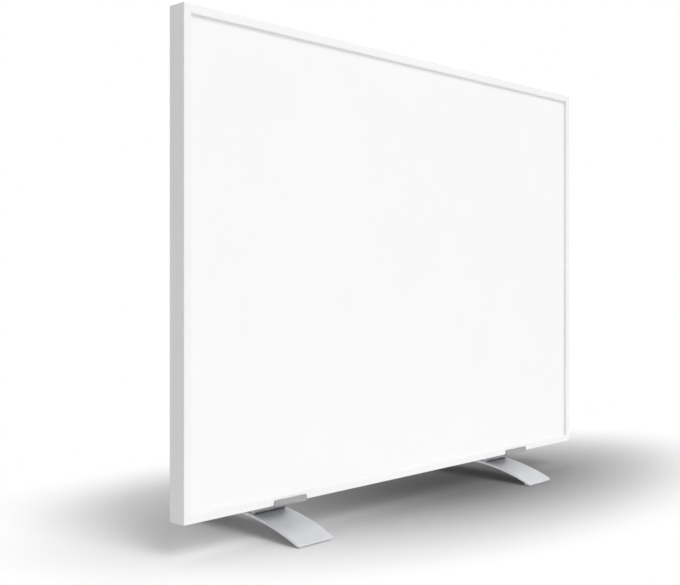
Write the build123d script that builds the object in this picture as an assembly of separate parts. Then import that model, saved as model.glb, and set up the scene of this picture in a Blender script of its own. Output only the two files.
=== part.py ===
from build123d import *
import math
import os

# Infrared panel heater that stands on two push-on feet.
# Millimetres. Origin: on the floor, in the middle between the feet.
# +X is to the right seen from the front, +Y points to the rear and +Z up.
# Lengths named "set back" or "depth" run rearwards from the frame's front face,
# and "inset" runs inwards from the frame's outer side.

# ---------------------------------------------------------------- driving dimensions
# panel
panel_width = 705.0
panel_height = 505.0
panel_depth = 23.0

# frame extrusion
frame_wall = 1.6
lip_width = 9.0
plate_set_back = 3.5
flange_width = 14.0
rib_set_back = 12.6
rib_width = 8.0
hook_depth = 3.0
front_edge_radius = 0.8
rear_edge_radius = 0.4
fit_gap = 0.3

# corner keys
key_leg = 45.0
key_width = 8.0
key_gap = 0.2

# heated layers, front to rear
plate_sheet = 0.8
plate_rim_depth = 7.5
plate_corner = 1.5
gasket_width = 4.4
layer_inset = 14.0
film_sheet = 0.3
stripe_sheet = 0.2
stripe_width = 12.0
stripe_pitch = 15.0
bus_bar_width = 14.0
mica_sheet = 0.4
foil_sheet = 0.2

# small round pieces: shanks, heads, rivets and their holes
small_round_sides = 8
gland_sides = 16

# rear cover and its fasteners
cover_sheet = 0.8
cover_screw_inset = 8.0
cover_screw_end = 82.5
long_side_screw_count = 3
short_side_screw_count = 2
cover_screw_radius = 1.5
cover_screw_head_radius = 2.8
cover_screw_head_depth = 1.3
cover_screw_length = 6.0
thread_gap = 0.05
head_gap = 0.1

# thermal cut-outs, on the panel's upright centre line through the lead channel
cutout_height = 9.0
cutout_radius = 7.0
cutout_cap_radius = 8.0
cutout_cap_height = 3.0
cutout_heights = (190.0, 330.0)
blade_width = 6.3
blade_sheet = 0.8
blade_length = 5.5
blade_spacing = 9.0

# lead wires and the channel that holds them
wire_radius = 1.1
wire_bend = 3.5
wire_sides = 6
wire_set_back = 19.0
channel_width = 12.0
channel_depth = 6.5
pocket_gap = 1.0
lead_x = 24.0

# junction box
box_width = 92.0
box_height = 62.0
box_depth = 20.0
box_wall = 2.0
box_bottom_height = 64.0
box_corner_radius = 5.0
lid_sheet = 2.0
lid_edge = 0.6
lid_rim = 1.5
post_radius = 4.0
post_inset = 6.5
lid_screw_radius = 1.5
lid_screw_head_radius = 3.0
lid_screw_top_radius = 2.2
lid_screw_head_height = 1.8
lid_screw_length = 10.0
box_rivet_spacing = 70.0

# terminal block
terminal_width = 36.0
terminal_height = 16.0
terminal_depth = 13.0
terminal_pitch = 11.0
terminal_bore_gap = 0.1
terminal_sleeve_side = 5.6
terminal_sleeve_length = 12.0
terminal_screw_radius = 1.7
terminal_screw_length = 3.6
screw_slot_width = 0.6
screw_slot_depth = 0.8
terminal_wire_reach = 7.0
terminal_rise = 40.0

# grommet where the leads pass through the rear cover
grommet_rise = 14.0
grommet_bore_radius = 5.2
grommet_groove_radius = 6.5
grommet_lip_radius = 8.5
grommet_lip = 1.5

# earth stud and the ring lug on its wire
stud_radius = 2.0
stud_length = 9.0
lug_radius = 4.0
lug_sheet = 0.8
lug_barrel_radius = 1.7
lug_barrel_length = 5.0
stud_flange_radius = 4.0
stud_flange_height = 1.0

# cable gland
gland_x = -24.0
gland_thread_radius = 6.0
gland_hex = 15.0
gland_hex_height = 5.0
gland_neck_radius = 5.4
gland_neck_length = 9.0
neck_wall = 1.1
gland_nut_radius = 7.4
gland_nut_length = 13.0
gland_nut_edge = 2.0
gland_nut_mouth_radius = 5.0
gland_nut_floor = 1.6
locknut_height = 3.0
cord_bore_radius = 3.3
mouth_gap = 0.4

# wall hangers
hanger_inset_x = 102.5
hanger_inset_z = 102.5
hanger_sheet = 1.5
hanger_width = 36.0
hanger_stand_off = 24.0
hanger_foot = 22.0
hanger_platform = 34.0
hanger_bend = 1.5
keyhole_radius = 5.0
keyhole_neck_width = 5.5
keyhole_neck_length = 10.0
keyhole_rise = 11.0
hanger_corner = 3.0
rivet_radius = 1.6
rivet_head_radius = 3.2
rivet_head_height = 1.4
rivet_tail_radius = 2.5
rivet_tail_length = 4.0
rivet_spacing = 22.0

# feet
foot_from_edge = 140.5
bow_length = 210.0
bow_width = 52.0
bow_sheet = 2.5
bow_rise = 21.6
bow_corner_radius = 4.0
toe_length = 40.0
toe_gap = 1.0
crown_gap = 12.5
seat_gap = 0.1

# cradle, one bent and lanced sheet
cradle_sheet = 2.0
cradle_width = 46.0
cradle_gap = 0.2
lip_height = 5.5
lip_corner_radius = 1.0
front_bend = 2.4
bend = 1.0
drop_set_back = 30.0
seat_length = 34.0
tongue_width = 26.0
tongue_height = 20.0
tongue_corner_radius = 4.0
relief_slot = 1.2
window_margin = 2.5

# soft pads
grip_sheet = 1.2
grip_width = 24.0
grip_height = 15.0
grip_rise = 2.5
pad_length = 8.0
pad_width = 44.0
pad_inset = 2.5
glue_gap = 0.2

# foot fasteners
foot_screw_radius = 2.0
foot_screw_head_radius = 3.8
foot_screw_top_radius = 2.4
foot_screw_head_height = 2.2
foot_screw_socket = 2.5
foot_screw_socket_depth = 1.4
foot_screw_spacing = 26.0
foot_screw_back_off = 18.0
nut_across_flats = 7.0
nut_height = 3.2
screw_end_beyond_nut = 0.6

# ---------------------------------------------------------------- places
bow_radius = (bow_length**2 / 4 + bow_rise**2) / (2 * bow_rise)
bow_half_angle = math.degrees(math.asin(bow_length / 2 / bow_radius))
crown_z = toe_gap + bow_sheet * math.cos(math.radians(bow_half_angle)) + bow_rise
bow_centre_z = crown_z - bow_radius
panel_bottom_z = crown_z + crown_gap
panel_front_y = toe_length - bow_length / 2
foot_x = panel_width / 2 - foot_from_edge

cover_back = panel_depth
cover_front = cover_back - cover_sheet
flange_front = cover_front - frame_wall
chamber_front = rib_set_back + frame_wall
skin_inset = frame_wall + fit_gap
plate_back = plate_set_back + plate_sheet
plate_inner_corner = plate_corner - plate_sheet * (2 - math.sqrt(2))
film_back = plate_back + film_sheet
stripe_back = film_back + stripe_sheet
mica_back = stripe_back + mica_sheet
foil_back = mica_back + foil_sheet

box_centre_height = box_bottom_height + box_height / 2
box_floor_back = cover_back + box_wall
lid_front = cover_back + box_depth
box_middle_depth = (box_floor_back + lid_front) / 2
terminal_middle = box_bottom_height + terminal_rise
terminal_wire_depth = box_floor_back + terminal_depth / 2
grommet_height = box_bottom_height + grommet_rise
lug_wire_depth = box_floor_back + lug_barrel_radius / math.cos(math.pi / small_round_sides)
stud_x = -lead_x
hanger_spacing_x = panel_width - 2 * hanger_inset_x
hanger_spacing_z = panel_height - 2 * hanger_inset_z
hanger_rivet_drop = keyhole_rise + hanger_foot / 2

tongue_front = panel_depth + cradle_gap + grip_sheet
tongue_back = tongue_front + cradle_sheet
seat_radius = bow_radius + seat_gap
drop_y = panel_front_y + drop_set_back
drop_angle = math.degrees(math.asin(-(drop_y + cradle_sheet / 2) / seat_radius))
seat_angle = math.degrees(seat_length / seat_radius)
screw_angle = drop_angle - math.degrees(foot_screw_back_off / seat_radius)


# ---------------------------------------------------------------- helpers
def in_panel(shape):
    """Moves a shape from panel coordinates (x, depth, height) to its place."""
    return Pos(0, panel_front_y, panel_bottom_z) * shape


def block(x, y, z):
    """A box from its limits along each axis."""
    size = [high - low for low, high in (x, y, z)]
    centre = [(high + low) / 2 for low, high in (x, y, z)]
    return Pos(*centre) * Box(*size)


def layer(inset, depth_from, depth_to):
    """A flat sheet over the panel's face, inset from the frame's outer sides."""
    half = panel_width / 2 - inset
    return block((-half, half), (depth_from, depth_to), (inset, panel_height - inset))


def small_round(radius):
    """Outline of a small shank, head or hole: few sides, because there are so many of them."""
    return RegularPolygon(radius, small_round_sides, major_radius=False)


def small_rod(radius, length):
    """A small rod along Z, centred."""
    return Pos(0, 0, -length / 2) * extrude(small_round(radius), amount=length)


def small_cone(radius_low, radius_high, length):
    """A small cone along Z, centred."""
    slope = math.degrees(math.atan((radius_low - radius_high) / length))
    return Pos(0, 0, -length / 2) * extrude(small_round(radius_low), amount=length, taper=slope)


def rod(x, height, radius, depth_from, depth_to):
    """A small rod that runs along Y, in panel coordinates."""
    middle = (depth_from + depth_to) / 2
    return Pos(x, middle, height) * Rot(X=90) * small_rod(radius, depth_to - depth_from)


def cone(x, height, radius_front, radius_back, depth_from, depth_to):
    """A small cone along Y whose radius runs from radius_front to radius_back."""
    middle = (depth_from + depth_to) / 2
    turned = Rot(X=-90) * small_cone(radius_front, radius_back, depth_to - depth_from)
    return Pos(x, middle, height) * turned


def cylinder(x, height, radius, depth_from, depth_to):
    """A true cylinder that runs along Y, in panel coordinates."""
    middle = (depth_from + depth_to) / 2
    return Pos(x, middle, height) * Rot(X=90) * Cylinder(radius, depth_to - depth_from)


def sector(radius_in, radius_out, angle_from, angle_to):
    """A ring sector in the YZ plane about the bow's centre, angles from the crown forwards."""
    start = 90 + angle_from
    turn = angle_to - angle_from
    centre = (0, bow_centre_z)
    inner = CenterArc(centre, radius_in, start, turn)
    outer = CenterArc(centre, radius_out, start, turn)
    ends = [Line(inner @ 0, outer @ 0), Line(inner @ 1, outer @ 1)]
    return make_face(Curve() + [inner, outer] + ends)


def along_x(sketch, width):
    """Extrudes a YZ sketch evenly to both sides of X = 0."""
    return extrude(Plane.YZ * sketch, amount=width / 2, both=True)


def edges_at(part, y, z):
    """The edges along X that pass through one point of the YZ plane."""
    near = [e for e in part.edges().filter_by(Axis.X) if abs(e.center().Y - y) < 0.02]
    return [e for e in near if abs(e.center().Z - z) < 0.02]


def along_side(length, end, count):
    """Evenly spaced places along a side, the first and last one end away from its corners."""
    first = end - length / 2
    step = (length - 2 * end) / (count - 1)
    return [first + step * index for index in range(count)]


def save(shape, name):
    """Writes one node, a solid or a group of solids, to its own file."""
    solids = shape if isinstance(shape, list) else [shape]
    node = Compound(children=[solid for part in solids for solid in part.solids()])
    export_step(node, os.path.join("parts", name + ".step"))


# ---------------------------------------------------------------- frame
def cover_screw_places():
    """Screw places round the rear cover, as (x, height)."""
    long_side = along_side(panel_width, cover_screw_end, long_side_screw_count)
    short_side = along_side(panel_height, cover_screw_end, short_side_screw_count)
    low, high = cover_screw_inset, panel_height - cover_screw_inset
    side = panel_width / 2 - cover_screw_inset
    rows = [(x, height) for x in long_side for height in (low, high)]
    columns = [(x, panel_height / 2 + offset) for x in (-side, side) for offset in short_side]
    return rows + columns


def cover_screw_holes():
    """Countersunk clearance holes for the cover screws, shared by cover and frame."""
    head_front = cover_back - cover_screw_head_depth - head_gap
    hole = cover_screw_radius + thread_gap
    mouth = cover_screw_head_radius + head_gap
    holes = []
    for x, height in cover_screw_places():
        holes.append(rod(x, height, hole, cover_back - cover_screw_length - 1, cover_back))
        holes.append(cone(x, height, hole, mouth, head_front, cover_back))
    return holes


def frame_profile():
    """Section of the extrusion: sketch X is the depth and sketch Y the inset."""

    def strip(depth, inset):
        width, height = depth[1] - depth[0], inset[1] - inset[0]
        return Pos((depth[0] + depth[1]) / 2, (inset[0] + inset[1]) / 2) * Rectangle(width, height)

    wall = strip((0, panel_depth), (0, frame_wall))
    face = strip((0, frame_wall), (0, lip_width))
    lip_return = strip((0, plate_set_back), (lip_width - frame_wall, lip_width))
    rib = strip((rib_set_back, chamber_front), (0, rib_width))
    flange = strip((flange_front, cover_front), (0, flange_width))
    hook_end = flange_width - frame_wall
    hook = strip((flange_front - hook_depth, cover_front), (hook_end, flange_width))
    profile = wall + face + lip_return + rib + flange + hook
    corners = profile.vertices()
    front = [v for v in corners if abs(v.X) < 0.01]
    rear = [v for v in corners if abs(v.X - panel_depth) < 0.01 and v.Y < 0.01]
    profile = fillet(front, front_edge_radius)
    rear = [v for v in profile.vertices() if abs(v.X - panel_depth) < 0.01 and v.Y < 0.01]
    return fillet(rear, rear_edge_radius)


def mitred_bar(length):
    """One frame bar along X, outer side down, both ends cut to 45 degrees."""
    bar = along_x(frame_profile(), length)
    for side in (-1, 1):
        mitre = Plane(origin=(side * length / 2, 0, 0), z_dir=(-side, 0, -1))
        bar = split(bar, bisect_by=mitre, keep=Keep.TOP)
    return bar


def frame_bars():
    """The four frame bars by name, with the cover screw holes in their rear flanges."""
    long_bar, short_bar = mitred_bar(panel_width), mitred_bar(panel_height)
    side = panel_width / 2
    bars = {
        "frame_bottom": long_bar,
        "frame_top": Pos(0, 0, panel_height) * Rot(Y=180) * long_bar,
        "frame_left": Pos(-side, 0, panel_height / 2) * Rot(Y=90) * short_bar,
        "frame_right": Pos(side, 0, panel_height / 2) * Rot(Y=-90) * short_bar,
    }
    holes = cover_screw_holes()
    return {name: bar - holes for name, bar in bars.items()}


def corner_keys():
    """L-shaped keys that lock the frame's mitres, one in each corner's chamber."""
    start = frame_wall + key_gap
    depth = (chamber_front + key_gap, flange_front - key_gap)
    flat_leg = block((start, key_leg), depth, (start, start + key_width))
    upright_leg = block((start, start + key_width), depth, (start, key_leg))
    key = chamfer((flat_leg + upright_leg).edges().filter_by(Axis.Y), key_width / 8)
    side = panel_width / 2
    corners = {
        "bottom_left": Pos(-side, 0, 0) * key,
        "top_left": Pos(-side, 0, panel_height) * Rot(Y=90) * key,
        "top_right": Pos(side, 0, panel_height) * Rot(Y=180) * key,
        "bottom_right": Pos(side, 0, 0) * Rot(Y=-90) * key,
    }
    return {"corner_key_" + name: place for name, place in corners.items()}


# ---------------------------------------------------------------- heated layers
def front_plate():
    """Radiating plate: a shallow tray whose rim turns back inside the frame."""
    outer = layer(skin_inset, plate_set_back, plate_set_back + plate_rim_depth)
    outer = chamfer(outer.edges().filter_by(Axis.Y), plate_corner)
    inner = layer(skin_inset + plate_sheet, plate_back, plate_set_back + plate_rim_depth)
    inner = chamfer(inner.edges().filter_by(Axis.Y), plate_inner_corner)
    return outer - inner


def edge_gasket():
    """Silicone ring that presses the plate forwards against the lip, off the frame's rib."""
    outer_inset = skin_inset + plate_sheet + fit_gap
    outer = layer(outer_inset, plate_back, rib_set_back)
    outer = chamfer(outer.edges().filter_by(Axis.Y), plate_corner)
    return outer - layer(outer_inset + gasket_width, plate_back, rib_set_back)


def carbon_stripes():
    """Upright carbon stripes side by side on the film, from bus bar to bus bar."""
    room = panel_width - 2 * layer_inset - 2 * stripe_width
    count = int(room / stripe_pitch) + 1
    low, high = layer_inset + bus_bar_width, panel_height - layer_inset - bus_bar_width
    stripes = []
    for index in range(count):
        middle = (index - (count - 1) / 2) * stripe_pitch
        x = (middle - stripe_width / 2, middle + stripe_width / 2)
        stripes.append(block(x, (film_back, stripe_back), (low, high)))
    return stripes


def bus_bar(height_from):
    """Copper strip across the film that feeds every stripe."""
    half = panel_width / 2 - layer_inset
    height = (height_from, height_from + bus_bar_width)
    return block((-half, half), (film_back, stripe_back), height)


def tap_heights():
    """Heights at which the leads reach the lower and the upper bus bar."""
    middle = layer_inset + bus_bar_width / 2
    return middle, panel_height - middle


def tap_places():
    """Where the neutral lead and the upper link run forwards to the bus bars, as (x, height)."""
    low, high = tap_heights()
    return [(lead_x - wire_radius - key_gap, low), (lead_x, high)]


def tap_holes(depth_from, depth_to):
    """Holes for the two leads that run forwards to the bus bars."""
    radius = wire_radius + pocket_gap
    return [rod(x, height, radius, depth_from, depth_to) for x, height in tap_places()]


def mica_cover():
    """Insulating sheet over stripes and bus bars, open only where the leads pass."""
    return layer(layer_inset, stripe_back, mica_back) - tap_holes(stripe_back, mica_back)


def cutout_pockets(depth_from, depth_to):
    """Round pockets that the thermal cut-outs sit in."""
    radius = cutout_cap_radius + pocket_gap
    return [rod(lead_x, height, radius, depth_from, depth_to) for height in cutout_heights]


def reflector_foil():
    """Foil that turns the heat forwards."""
    foil = layer(layer_inset, mica_back, foil_back)
    return foil - tap_holes(mica_back, foil_back) - cutout_pockets(mica_back, foil_back)


def insulation_board():
    """Board that fills the panel, with the lead channel and pockets for what pokes in."""
    board = layer(layer_inset + fit_gap, foil_back, cover_front)
    board -= tap_holes(foil_back, cover_front)
    board -= cutout_pockets(foil_back, cover_front)
    low, high = tap_heights()
    reach = wire_radius + pocket_gap
    channel_x = (lead_x - channel_width / 2, lead_x + channel_width / 2)
    channel_y = (cover_front - channel_depth, cover_front)
    board -= block(channel_x, channel_y, (low - reach, high + reach))
    tail_depth = cover_front - rivet_tail_length - pocket_gap
    tail_radius = rivet_tail_radius + pocket_gap
    for x, height in rivet_places() + box_rivet_places():
        board -= rod(x, height, tail_radius, tail_depth, cover_front)
    flange_depth = cover_front - stud_flange_height - pocket_gap
    board -= rod(stud_x, grommet_height, stud_flange_radius + pocket_gap, flange_depth, cover_front)
    lip_depth = cover_front - grommet_lip - pocket_gap
    board -= rod(lead_x, grommet_height, grommet_lip_radius + pocket_gap, lip_depth, cover_front)
    return board


def thermal_cutout(height):
    """Bimetal cut-out: cap against the mica sheet, body behind it and two blades."""
    cap_back = mica_back + cutout_cap_height
    body_back = mica_back + cutout_height
    cap = rod(lead_x, height, cutout_cap_radius, mica_back, cap_back)
    body = rod(lead_x, height, cutout_radius, cap_back, body_back)
    blade_x = (lead_x - blade_width / 2, lead_x + blade_width / 2)
    part = cap + body
    for side in (-1, 1):
        middle = height + side * blade_spacing / 2
        blade_z = (middle - blade_sheet / 2, middle + blade_sheet / 2)
        part += block(blade_x, (body_back, body_back + blade_length), blade_z)
    return part


# ---------------------------------------------------------------- rear cover
def rivet_places():
    """Rivet places of the four hangers, two to a hanger, as (x, height)."""
    places = []
    for x, height in hanger_places():
        for side in (-1, 1):
            places.append((x + side * rivet_spacing / 2, height - hanger_rivet_drop))
    return places


def box_rivet_places():
    """Places of the two rivets that hold the junction box, as (x, height)."""
    side = box_rivet_spacing / 2
    return [(-side, box_centre_height), (side, box_centre_height)]


def rear_cover():
    """Sheet cover let into the frame's rear rebate, with every hole it carries."""
    cover = layer(skin_inset, cover_front, cover_back)
    cover -= cover_screw_holes()
    for x, height in rivet_places() + box_rivet_places():
        cover -= rod(x, height, rivet_radius + thread_gap, cover_front, cover_back)
    cover -= rod(stud_x, grommet_height, stud_radius + thread_gap, cover_front, cover_back)
    groove = grommet_groove_radius + thread_gap
    return cover - rod(lead_x, grommet_height, groove, cover_front, cover_back)


def cover_screws():
    """Countersunk screws, flush with the cover so that the feet slide past them."""
    head_front = cover_back - cover_screw_head_depth
    end = cover_back - cover_screw_length
    screws = []
    for x, height in cover_screw_places():
        shank = rod(x, height, cover_screw_radius, end, head_front)
        head = cone(x, height, cover_screw_radius, cover_screw_head_radius, head_front, cover_back)
        screws.append(shank + head)
    return screws


def rivet(x, height, clamp):
    """Blind rivet from the cover's inside to a dome on the part that it clamps."""
    head_front = cover_back + clamp
    tail = rod(x, height, rivet_tail_radius, cover_front - rivet_tail_length, cover_front)
    shank = rod(x, height, rivet_radius, cover_front, head_front)
    head = cone(x, height, rivet_head_radius, rivet_radius, head_front, head_front + rivet_head_height)
    return tail + shank + head


def cover_grommet():
    """Rubber ring, grooved over the cover's edge, that the leads pass through."""
    front = cover_front - grommet_lip
    back = cover_back + grommet_lip
    ring = rod(lead_x, grommet_height, grommet_lip_radius, front, cover_front)
    ring += rod(lead_x, grommet_height, grommet_groove_radius, cover_front, cover_back)
    ring += rod(lead_x, grommet_height, grommet_lip_radius, cover_back, back)
    return ring - rod(lead_x, grommet_height, grommet_bore_radius, front, back)


def earth_stud():
    """Stud pressed through the cover, flange inside and thread in the box."""
    flange = rod(stud_x, grommet_height, stud_flange_radius, cover_front - stud_flange_height, cover_front)
    return flange + rod(stud_x, grommet_height, stud_radius, cover_front, cover_front + stud_length)


def earth_nut():
    """Hexagon nut on the earth stud: it clamps the lug and the box floor to the cover."""
    seat = box_floor_back + lug_sheet
    return hex_nut(stud_x, grommet_height, seat, nut_across_flats, nut_height, stud_radius)


def hex_nut(x, height, depth_from, across_flats, nut_depth, bore):
    """Hexagon nut whose axis runs along Y."""
    outline = RegularPolygon(across_flats / 2, 6, major_radius=False)
    body = extrude(Plane(origin=(x, depth_from, height), z_dir=(0, 1, 0)) * outline, amount=nut_depth)
    return body - rod(x, height, bore + thread_gap, depth_from, depth_from + nut_depth)


# ---------------------------------------------------------------- junction box
def box_blank(inset, depth_from, depth_to):
    """A block as wide and high as the junction box, inset all round."""
    half = box_width / 2 - inset
    height = (box_bottom_height + inset, box_bottom_height + box_height - inset)
    return block((-half, half), (depth_from, depth_to), height)


def box_outline(depth_from, depth_to):
    """A block with the junction box's rounded outline."""
    part = box_blank(0, depth_from, depth_to)
    return fillet(part.edges().filter_by(Axis.Y), box_corner_radius)


def post_places():
    """The lid screws' places in the box's corners, as (x, height)."""
    side = box_width / 2 - post_inset
    low, high = box_bottom_height + post_inset, box_bottom_height + box_height - post_inset
    return [(x, height) for x in (-side, side) for height in (low, high)]


def junction_box():
    """Box moulding: floor, walls, four lid posts and its openings."""
    floor_back = box_floor_back
    outer = box_outline(cover_back, lid_front)
    inner = box_blank(box_wall, floor_back, lid_front)
    box = outer - chamfer(inner.edges().filter_by(Axis.Y), box_corner_radius - box_wall)
    for x, height in post_places():
        post = rod(x, height, post_radius, cover_back, lid_front - lid_rim)
        box += post & outer
    for x, height in post_places():
        hole = lid_screw_radius + thread_gap
        box -= rod(x, height, hole, floor_back, lid_front)
    for x, height in box_rivet_places():
        box -= rod(x, height, rivet_radius + thread_gap, cover_back, floor_back)
    box -= rod(lead_x, grommet_height, grommet_lip_radius + fit_gap, cover_back, floor_back)
    box -= rod(stud_x, grommet_height, stud_radius + thread_gap, cover_back, floor_back)
    wall_top = box_bottom_height + box_wall
    return box - gland_rod(gland_thread_radius + thread_gap, box_bottom_height, wall_top)


def junction_lid():
    """Flat lid with four bars that drop inside the walls and stop short of the posts."""
    lid = box_outline(lid_front, lid_front + lid_sheet)
    lid = chamfer(lid.faces().sort_by(Axis.Y)[-1].edges(), lid_edge)
    depth = (lid_front - lid_rim, lid_front)
    outer, inner = box_wall + key_gap, 2 * box_wall
    clear = post_inset + post_radius + fit_gap
    half = box_width / 2
    low, high = box_bottom_height, box_bottom_height + box_height
    for x in ((outer - half, inner - half), (half - inner, half - outer)):
        lid += block(x, depth, (low + clear, high - clear))
    for height in ((low + outer, low + inner), (high - inner, high - outer)):
        lid += block((clear - half, half - clear), depth, height)
    for x, height in post_places():
        lid -= rod(x, height, lid_screw_radius + key_gap, lid_front, lid_front + lid_sheet)
    return lid


def lid_screws():
    """Pan-head screws that hold the lid to its posts."""
    seat = lid_front + lid_sheet
    screws = []
    for x, height in post_places():
        shank = rod(x, height, lid_screw_radius, seat - lid_screw_length, seat)
        top = seat + lid_screw_head_height
        head = cone(x, height, lid_screw_head_radius, lid_screw_top_radius, seat, top)
        screws.append(shank + head)
    return screws


def terminal_poles():
    """The three poles' places along X."""
    return [pole * terminal_pitch for pole in (-1, 0, 1)]


def upright_rod(x, radius, low, high):
    """Small rod along Z at the terminals' depth, between two heights."""
    return Pos(x, terminal_wire_depth, (low + high) / 2) * small_rod(radius, high - low)


def sleeve_blank(x):
    """Outside of one square sleeve."""
    side = terminal_sleeve_side
    place = Pos(x, terminal_wire_depth, terminal_middle)
    return place * Box(side, side, terminal_sleeve_length)


def terminal_screws():
    """Slotted clamping screws, their tips on the leads."""
    tip = terminal_wire_depth + wire_radius
    head = tip + terminal_screw_length
    screws = []
    for x in terminal_poles():
        screw = rod(x, terminal_middle, terminal_screw_radius, tip, head)
        slot_x = (x - terminal_screw_radius, x + terminal_screw_radius)
        slot_z = (terminal_middle - screw_slot_width / 2, terminal_middle + screw_slot_width / 2)
        screws.append(screw - block(slot_x, (head - screw_slot_depth, head), slot_z))
    return screws


def terminal_screw_holes(gap):
    """Holes that the clamping screws turn in, open towards the lid."""
    radius = terminal_screw_radius + gap
    top = box_floor_back + terminal_depth
    return [rod(x, terminal_middle, radius, terminal_wire_depth, top) for x in terminal_poles()]


def terminal_sleeves():
    """Brass sleeves that the leads are clamped in."""
    low = terminal_middle - terminal_sleeve_length / 2
    high = terminal_middle + terminal_sleeve_length / 2
    bore = wire_radius + terminal_bore_gap
    holes = terminal_screw_holes(thread_gap)
    sleeves = []
    for x, hole in zip(terminal_poles(), holes):
        sleeves.append(sleeve_blank(x) - upright_rod(x, bore, low, high) - hole)
    return sleeves


def terminal_block():
    """Three-pole block on the box floor, moulded round its sleeves."""
    half = terminal_width / 2
    low = terminal_middle - terminal_height / 2
    high = terminal_middle + terminal_height / 2
    body = block((-half, half), (box_floor_back, box_floor_back + terminal_depth), (low, high))
    body = chamfer(body.edges().filter_by(Axis.Z), 1.0)
    for x in terminal_poles():
        body -= upright_rod(x, wire_radius + terminal_bore_gap, low, high)
        body -= sleeve_blank(x)
    return body - terminal_screw_holes(terminal_bore_gap)


# ---------------------------------------------------------------- cable gland
def upright_hex(across_flats, length, top):
    """Hexagonal block below the given height, on the gland's axis."""
    outline = RegularPolygon(across_flats / 2, 6, major_radius=False)
    plane = Plane(origin=(gland_x, box_middle_depth, top - length), z_dir=(0, 0, 1))
    return extrude(plane * outline, amount=length)


def on_gland(shape, low):
    """Moves a shape that stands on Z = 0 to the gland's upright axis, from one height up."""
    return Pos(gland_x, box_middle_depth, low) * shape


def gland_rod(radius, low, high):
    """Rod of few sides on the gland's axis between two heights."""
    outline = RegularPolygon(radius, gland_sides, major_radius=False)
    return on_gland(extrude(outline, amount=high - low), low)


def gland_bore(radius, low, high):
    """True round bore on the gland's axis between two heights."""
    return on_gland(extrude(Circle(radius), amount=high - low), low)


def gland_parts():
    """Body through the box's lower wall, locknut, clamping nut and seal."""
    wall_low = box_bottom_height
    wall_high = wall_low + box_wall
    hex_low = wall_low - gland_hex_height
    neck_low = hex_low - gland_neck_length
    body = upright_hex(gland_hex, gland_hex_height, wall_low)
    body += gland_rod(gland_thread_radius, wall_low, wall_high + locknut_height)
    body += gland_rod(gland_neck_radius, neck_low, hex_low)
    body -= gland_rod(gland_neck_radius - neck_wall, neck_low, wall_high + locknut_height)

    locknut = upright_hex(gland_hex, locknut_height, wall_high + locknut_height)
    thread = gland_thread_radius + thread_gap
    locknut -= gland_rod(thread, wall_high, wall_high + locknut_height)

    nut_low = hex_low - gland_nut_length
    nut = gland_rod(gland_nut_radius, nut_low, hex_low)
    nut = chamfer(nut.faces().sort_by(Axis.Z)[0].edges(), gland_nut_edge)
    nut -= gland_rod(gland_neck_radius + thread_gap, neck_low, hex_low)
    nut -= gland_rod(gland_nut_mouth_radius, nut_low + gland_nut_floor, neck_low)
    nut -= gland_rod(cord_bore_radius + mouth_gap, nut_low, neck_low)

    seal = gland_rod(gland_neck_radius - neck_wall - thread_gap, neck_low, hex_low)
    seal += gland_rod(gland_nut_mouth_radius - thread_gap, nut_low + gland_nut_floor, neck_low)
    seal -= gland_bore(cord_bore_radius, nut_low, hex_low)
    return {"gland_body": body, "gland_locknut": locknut, "gland_nut": nut, "gland_seal": seal}


# ---------------------------------------------------------------- lead wires
def eased(points, radius):
    """Points of a path whose corners are eased by three points each, on a circle of that radius."""
    path = [Vector(*point) for point in points]
    result = [path[0]]
    for before, corner, after in zip(path, path[1:], path[2:]):
        back, onwards = (before - corner).normalized(), (after - corner).normalized()
        half_turn = math.radians(180 - back.get_angle(onwards)) / 2
        reach = radius * math.tan(half_turn)
        inwards = (back + onwards).normalized() * (radius / math.cos(half_turn) - radius)
        result += [corner + back * reach, corner + inwards, corner + onwards * reach]
    return result + [path[-1]]


def wire(points, bend_radius):
    """Round lead along straight runs with eased corners."""
    path = Polyline(*eased(points, bend_radius))
    start = Plane(origin=path @ 0, z_dir=path % 0)
    section = start * RegularPolygon(wire_radius, wire_sides)
    return sweep(section, path=path, transition=Transition.RIGHT)


def earth_lug():
    """Ring lug crimped on the earth wire, flat on the box floor."""
    back = box_floor_back + lug_sheet
    barrel_low = grommet_height + lug_radius + lug_barrel_length / 2
    lug = rod(stud_x, grommet_height, lug_radius, box_floor_back, back)
    tail_x = (stud_x - lug_barrel_radius, stud_x + lug_barrel_radius)
    tail_top = barrel_low + lug_barrel_length
    lug += block(tail_x, (box_floor_back, back), (grommet_height, tail_top))
    barrel = Pos(stud_x, lug_wire_depth, barrel_low + lug_barrel_length / 2)
    lug += barrel * small_rod(lug_barrel_radius, lug_barrel_length)
    lug -= barrel * small_rod(wire_radius, lug_barrel_length)
    return lug - rod(stud_x, grommet_height, stud_radius + thread_gap, box_floor_back, back)


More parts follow.
